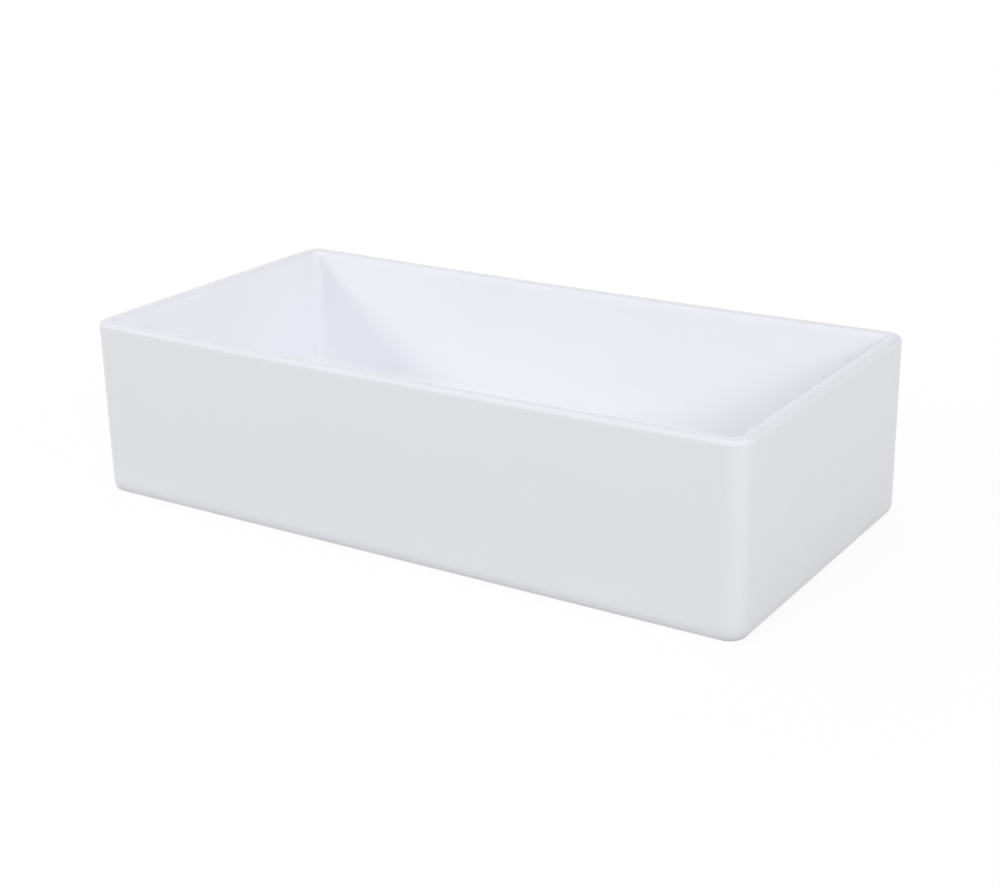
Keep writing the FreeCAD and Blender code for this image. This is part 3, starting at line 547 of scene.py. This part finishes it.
# %% [markdown]
# Finishes are node trees, and their arithmetic reads best as arithmetic. A small class wraps one socket, so
# that 1 - mask adds a Math node by itself. Every other node comes from one method: its type, its settings,
# then what its sockets get.

# %% Shader arithmetic
class Value:
    """An output socket in a finish. Arithmetic on it adds Math nodes to the same finish."""

    def __init__(self, finish, socket):
        self.finish, self.socket = finish, socket

    def math(self, operation, *others):
        return self.finish.node("Math", {"operation": operation}, dict(enumerate(others)))

    def other(self, name):
        """Another output of the node that this socket belongs to."""
        return Value(self.finish, self.socket.node.outputs[name])

    def __add__(self, number):
        return self.math("ADD", self, number)

    def __sub__(self, number):
        return self.math("SUBTRACT", self, number)

    def __rsub__(self, number):
        return self.math("SUBTRACT", number, self)

    def __mul__(self, number):
        return self.math("MULTIPLY", self, number)

    __radd__, __rmul__ = __add__, __mul__


class Finish:
    """The node tree of a material or world under construction."""

    def __init__(self, owner):
        owner.use_nodes = True
        self.owner, self.tree = owner, owner.node_tree
        self.tree.nodes.clear()

    def node(self, kind, settings=None, sockets=None, output=0):
        """Add a node, set its settings, then give its sockets numbers, colours or links."""
        made = self.tree.nodes.new("ShaderNode" + kind)
        for setting, value in (settings or {}).items():
            setattr(made, setting, value)
        for name, value in (sockets or {}).items():
            if isinstance(value, Value):
                self.tree.links.new(value.socket, made.inputs[name])
            else:
                made.inputs[name].default_value = value
        return Value(self, made.outputs[output]) if made.outputs else None

    def place(self, stretch=(1, 1, 1)):
        """Object coordinates in metres, stretched along the axes."""
        spot = self.node("TexCoord", output="Object")
        return self.node("Mapping", {}, {"Vector": spot, "Scale": stretch})

    def noise(self, size_mm, detail=3.0, stretch=(1, 1, 1)):
        """Soft noise from 0 to 1 whose patches are about size_mm across."""
        sockets = {"Vector": self.place(stretch), "Scale": 1000 / size_mm, "Detail": detail}
        return self.node("TexNoise", {}, sockets)

    def mark(self, name):
        """A number that the mesh carries at its vertices."""
        return self.node("Attribute", {"attribute_name": name}, output="Fac")

    def range(self, value, low, high):
        """A smooth step from 0 to 1 while a value goes from low to high."""
        sockets = {"Value": value, "From Min": low, "From Max": high}
        return self.node("MapRange", {"interpolation_type": "SMOOTHSTEP"}, sockets)

    def mix(self, share, first, second):
        """A colour between two others."""
        return self.node("Mix", {"data_type": "RGBA"}, {0: share, 6: first, 7: second}, output=2)

    def bump(self, height, depth_mm):
        """A normal that rises with a height from 0 to 1, over a depth in millimetres."""
        return self.node("Bump", {}, {"Height": height, "Distance": depth_mm * MM, "Strength": 1.0})

    def done(self, **sockets):
        """The principled shader with these sockets, sent to the output."""
        named = {name.replace("_", " "): value for name, value in sockets.items()}
        self.node("OutputMaterial", {}, {"Surface": self.node("BsdfPrincipled", {}, named)})
        print(self.owner.name, len(self.tree.nodes), "nodes")
        return self.owner

    def seen(self):
        """1 for what the camera sees itself, in a mirror or through glass, and 0 for light on its way."""
        path = self.node("LightPath", output="Is Camera Ray")
        mirrored = path.math("MAXIMUM", path, path.other("Is Glossy Ray"))
        return path.math("MAXIMUM", mirrored, path.other("Is Transmission Ray"))


def rgb(red, green, blue):
    return (red, green, blue, 1.0)


def finish_for(name):
    return Finish(bpy.data.materials.new(name))


print("socket arithmetic ready")

# %% [markdown]
# The glaze is a white, slightly cool glass melted over the clay. It is very smooth but never flat: it
# ripples over a few centimetres and has a fine peel, both of which only show in what it mirrors. Over the
# rim a greyer colour is painted in as shade, most where the rim faces up, to keep the rim from lighting
# brighter than the walls. The foot is bare biscuit, and under the basin the glaze is a thin dull wash.

# %% White glaze
finish = finish_for("white_glaze")
bare, rim_shade_mark = finish.mark("bare"), finish.mark("edge")
cloud = finish.noise(140, detail=2.0)
glaze_white = finish.mix(cloud, rgb(0.859, 0.866, 0.905), rgb(0.871, 0.878, 0.917))
# Painted shade: over the rim the glaze colour turns greyer by the edge mark, most where the rim faces up.
glaze_with_painted_rim_shade = finish.mix(rim_shade_mark, glaze_white, rgb(0.745, 0.757, 0.802))
speck = finish.noise(0.9, detail=4.0)
biscuit = finish.mix(speck, rgb(0.60, 0.54, 0.46), rgb(0.74, 0.69, 0.61))
unglazed = finish.range(bare + finish.noise(9) * 0.3, 0.75, 1.0)
ripple = finish.noise(45, detail=1.0)
peel = finish.noise(2.6, detail=2.0)
grit = finish.noise(0.5) * bare * 0.3
white_glaze = finish.done(
    Base_Color=finish.mix(unglazed, glaze_with_painted_rim_shade, biscuit),
    Roughness=0.07 + 0.05 * finish.noise(30) + 0.5 * bare,
    IOR=1.5,
    Normal=finish.bump(0.82 * ripple + 0.03 * peel + grit, 0.35),
)

# %% [markdown]
# Bright chrome is thin plating on polished brass. It shows almost only what is round it, with a faint haze
# where fingers and dried water leave it, so the haze goes into the roughness and only a trace into the
# colour. The brass pieces inside come straight from the lathe: fine rings round the axis, which are noise
# squeezed flat along z, and darker tarnish in patches. The spring and the lock nut are plain grey steel.

# %% Metals
finish = finish_for("bright_chrome")
haze = finish.range(finish.noise(14, detail=4.0), 0.45, 0.75)
spots = finish.range(finish.noise(2.2, detail=1.0), 0.66, 0.74)
bright_chrome = finish.done(
    Base_Color=finish.mix(haze, rgb(0.78, 0.79, 0.81), rgb(0.70, 0.71, 0.73)),
    Roughness=0.05 + 0.08 * haze + 0.10 * spots,
    Metallic=1.0,
    Normal=finish.bump(finish.noise(6, detail=1.0), 0.01),
)

finish = finish_for("turned_brass")
rings_cut = finish.noise(0.9, detail=2.0, stretch=(0.08, 0.08, 3))
tarnish = finish.range(finish.noise(5, detail=5.0), 0.4, 0.7)
turned_brass = finish.done(
    Base_Color=finish.mix(tarnish, rgb(0.70, 0.52, 0.25), rgb(0.50, 0.35, 0.16)),
    Roughness=0.22 + 0.16 * tarnish + 0.08 * rings_cut,
    Metallic=1.0,
    Normal=finish.bump(rings_cut, 0.03),
)

finish = finish_for("spring_steel")
drawn = finish.noise(1.2, detail=3.0)
spring_steel = finish.done(
    Base_Color=finish.mix(drawn, rgb(0.52, 0.53, 0.55), rgb(0.36, 0.36, 0.37)),
    Roughness=0.24 + 0.18 * drawn,
    Metallic=1.0,
    Normal=finish.bump(drawn, 0.01),
)

# %% [markdown]
# Moulded rubber is dark and dull with a pale bloom that comes and goes, and its skin is finely grained. The
# slip washer, carrier and bush are pale moulded plastic: a soft sheen, a trace of flow lines, and a fine
# spark-eroded grain from the mould.

# %% Rubber and plastic
finish = finish_for("black_rubber")
bloom = finish.range(finish.noise(4, detail=4.0), 0.4, 0.75)
grain = finish.noise(0.35, detail=2.0)
black_rubber = finish.done(
    Base_Color=finish.mix(bloom, rgb(0.020, 0.020, 0.021), rgb(0.055, 0.055, 0.056)),
    Roughness=0.52 + 0.2 * bloom,
    Normal=finish.bump(grain, 0.03),
)

finish = finish_for("pale_plastic")
flow = finish.noise(7, detail=3.0, stretch=(1, 1, 2.5))
grain = finish.noise(0.3, detail=1.0)
pale_plastic = finish.done(
    Base_Color=finish.mix(flow, rgb(0.66, 0.66, 0.64), rgb(0.74, 0.74, 0.72)),
    Roughness=0.38 + 0.1 * flow,
    Normal=finish.bump(grain, 0.02),
)

# %% [markdown]
# The finishes now go to the pieces by their slots, the names that the part's record uses for its materials.
# The index ring keeps its own solid, so its slots are filled instead.

# %% Give every piece its finish
FINISH_OF = {
    "glaze": white_glaze, "chrome": bright_chrome, "brass": turned_brass,
    "steel": spring_steel, "rubber": black_rubber, "plastic": pale_plastic,
}
for piece, node in pairs:
    piece.data.materials.append(FINISH_OF[slot_of[node]])
index_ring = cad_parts["cartridge_rotor"]
for slot in index_ring.material_slots:
    slot.material = pale_plastic
print("finishes:", *sorted(m.name for m in FINISH_OF.values()))

# %% [markdown]
# The stage is a plain pale counter that reaches far beyond the view. It is open under the basin, so that
# light gets to the foot ring and the waste when they are looked at from below. It lies a hair under the
# foot, as on a bed of sealant, because two faces in one plane would flicker. It encloses nothing, so the
# volume can't tell its upper side: its faces come out looking down and are flipped.

# %% Counter
BED, STEPS_OUT, FAR = 0.1, np.array([10.0, 70.0, 300.0]), 4000.0
counter_reach = np.r_[contact, WALL + STEPS_OUT, FAR]
counter = surface("counter", stretch(counter_reach, 0 * counter_reach - BED, outside))
counter.data.flip_normals()
counter.modifiers.clear()
close = np.array([1.0, 1.0, 0.0, 0.0, 0.0])[:, None]
give_mark(counter, "beside", 0.5 + close * (0.5 - np.maximum(np.cos(TURN), 0)))

# %% [markdown]
# The camera and mirrors see the counter almost white, mostly by plain emission. Near the basin a small
# share of it is ordinary white paint, so it still takes the basin's soft shadow. As a source of bounced
# light it is duller. Close to the basin it is a little paler than farther out, so that the foot doesn't go
# dark, except on the right, where it is darker and shades the lower part of that end: the mark beside says
# where. Seen from below the counter is clear, to let the underside show.

# %% The counter's finish
PAINT_SHARE = 0.10
finish = finish_for("counter_white")
spread = finish.node("VectorMath", {"operation": "LENGTH"}, {0: finish.place()}, output="Value")
painted = PAINT_SHARE * (1 - finish.range(spread, 0.40, 0.75))
glow = finish.node("Emission", {}, {"Color": rgb(1, 1, 1), "Strength": 1.0})
paint = finish.node("BsdfDiffuse", {}, {"Color": rgb(0.92, 0.92, 0.92)})
shown = finish.node("MixShader", {}, {0: painted, 1: glow, 2: paint})
bounce = finish.mix(finish.mark("beside"), rgb(0.31, 0.31, 0.31), rgb(0.53, 0.53, 0.53))
dull = finish.node("BsdfDiffuse", {}, {"Color": bounce})
lit = finish.node("MixShader", {}, {0: finish.seen(), 1: dull, 2: shown})
behind = finish.node("NewGeometry", output="Backfacing")
through = finish.node("BsdfTransparent")
from_both = finish.node("MixShader", {}, {0: behind, 1: lit, 2: through})
finish.node("OutputMaterial", {}, {"Surface": from_both})
counter.data.materials.append(finish.owner)

# %% [markdown]
# The light is that of a plain studio: a pale room all round, with soft boxes left and right, in front, on
# the front right, overhead and behind. Those at the sides throw the faint slanting shadows on the bowl's
# long back wall, and the one behind keeps the back from going grey. Mirrors show the room, whose white
# walls darken towards the ceiling, and not the boxes, so the glaze has no hard bright spots. As a light the
# room is dimmer than it looks.

# %% Room and lamps
ROOM_LIGHT, CEILING_LOSS = 0.50, 0.50
AIM = Vector((0, 0, 0.1))
world = bpy.data.worlds.new("pale_room")
bpy.context.scene.world = world
finish = Finish(world)
direction = finish.node("TexCoord", output="Generated")
steepness = finish.node("SeparateXYZ", {}, {0: direction}, output="Z")
walls = 1 - CEILING_LOSS * finish.range(steepness, 0.05, 0.50)
strength = ROOM_LIGHT + finish.seen() * (walls - ROOM_LIGHT)
sky = finish.node("Background", {}, {"Color": rgb(1, 1, 1), "Strength": strength})
finish.node("OutputWorld", {}, {"Surface": sky})


def soft_box(name, place, size, power):
    """A square area lamp at place, in metres, aimed at the basin."""
    lamp = bpy.data.lights.new(name, "AREA")
    lamp.size, lamp.energy = size, power
    box = bpy.data.objects.new(name, lamp)
    bpy.context.scene.collection.objects.link(box)
    box.location = place
    box.rotation_euler = (AIM - Vector(place)).to_track_quat("-Z", "Y").to_euler()
    box.visible_camera = False
    box.visible_glossy = False


soft_box("soft_box_left", (-1.7, -0.9, 1.33), 0.5, 10.8)
soft_box("soft_box_right", (3.74, -0.66, 2.19), 1.1, 45.4)
soft_box("soft_box_front_right", (1.7, -1.8, 1.05), 0.5, 8.8)
soft_box("soft_box_front", (0.0, -1.65, 1.35), 1.0, 8.1)
soft_box("soft_box_top", (0.0, 0.0, 2.1), 1.0, 4.3)
soft_box("soft_box_back", (-0.9, 1.7, 0.9), 0.7, 12.0)
print("room light", ROOM_LIGHT)

# %% [markdown]
# The camera was worked out from the picture of the basin: its straight edges fix the direction, and the way
# they draw together fixes the distance. The basin sits low and turned by a little over a third of a right
# angle, and the camera leans by about one degree. Its axes become the columns of its matrix.

# %% Camera
FOCAL_SHARE, AZIMUTH, ELEVATION, ROLL = 1.805, 32.95, 19.99, -1.01
DISTANCE, ASIDE, DOWN = 1498.9, 7.0, 25.0
az, el, roll = (math.radians(a) for a in (AZIMUTH, ELEVATION, ROLL))
back = np.array([math.sin(az) * math.cos(el), -math.cos(az) * math.cos(el), math.sin(el)])
level_right = np.array([math.cos(az), math.sin(az), 0.0])
level_up = np.cross(back, level_right)
right = math.cos(roll) * level_right + math.sin(roll) * level_up
up = -math.sin(roll) * level_right + math.cos(roll) * level_up
eye = (np.array([0, 0, HEIGHT / 2]) + back * DISTANCE + right * ASIDE - up * DOWN) * MM
camera_data = bpy.data.cameras.new("camera")
camera_data.sensor_width = 36.0
camera_data.lens = FOCAL_SHARE * camera_data.sensor_width
camera = bpy.data.objects.new("camera", camera_data)
bpy.context.scene.collection.objects.link(camera)
pose = np.eye(4)
pose[:3] = np.stack([right, up, back, eye], -1)
camera.matrix_world = Matrix(pose.tolist())
bpy.context.scene.camera = camera
bpy.context.scene.view_settings.view_transform = "Standard"
print("camera at", np.round(eye, 3), "lens", round(camera_data.lens, 2))

# %% [markdown]
# Last, the view layer is brought up to date. The dressed basin and the solids should agree in size to well
# within a centimetre, because looks don't change the size of a part.

# %% Finish
bpy.context.view_layer.update()
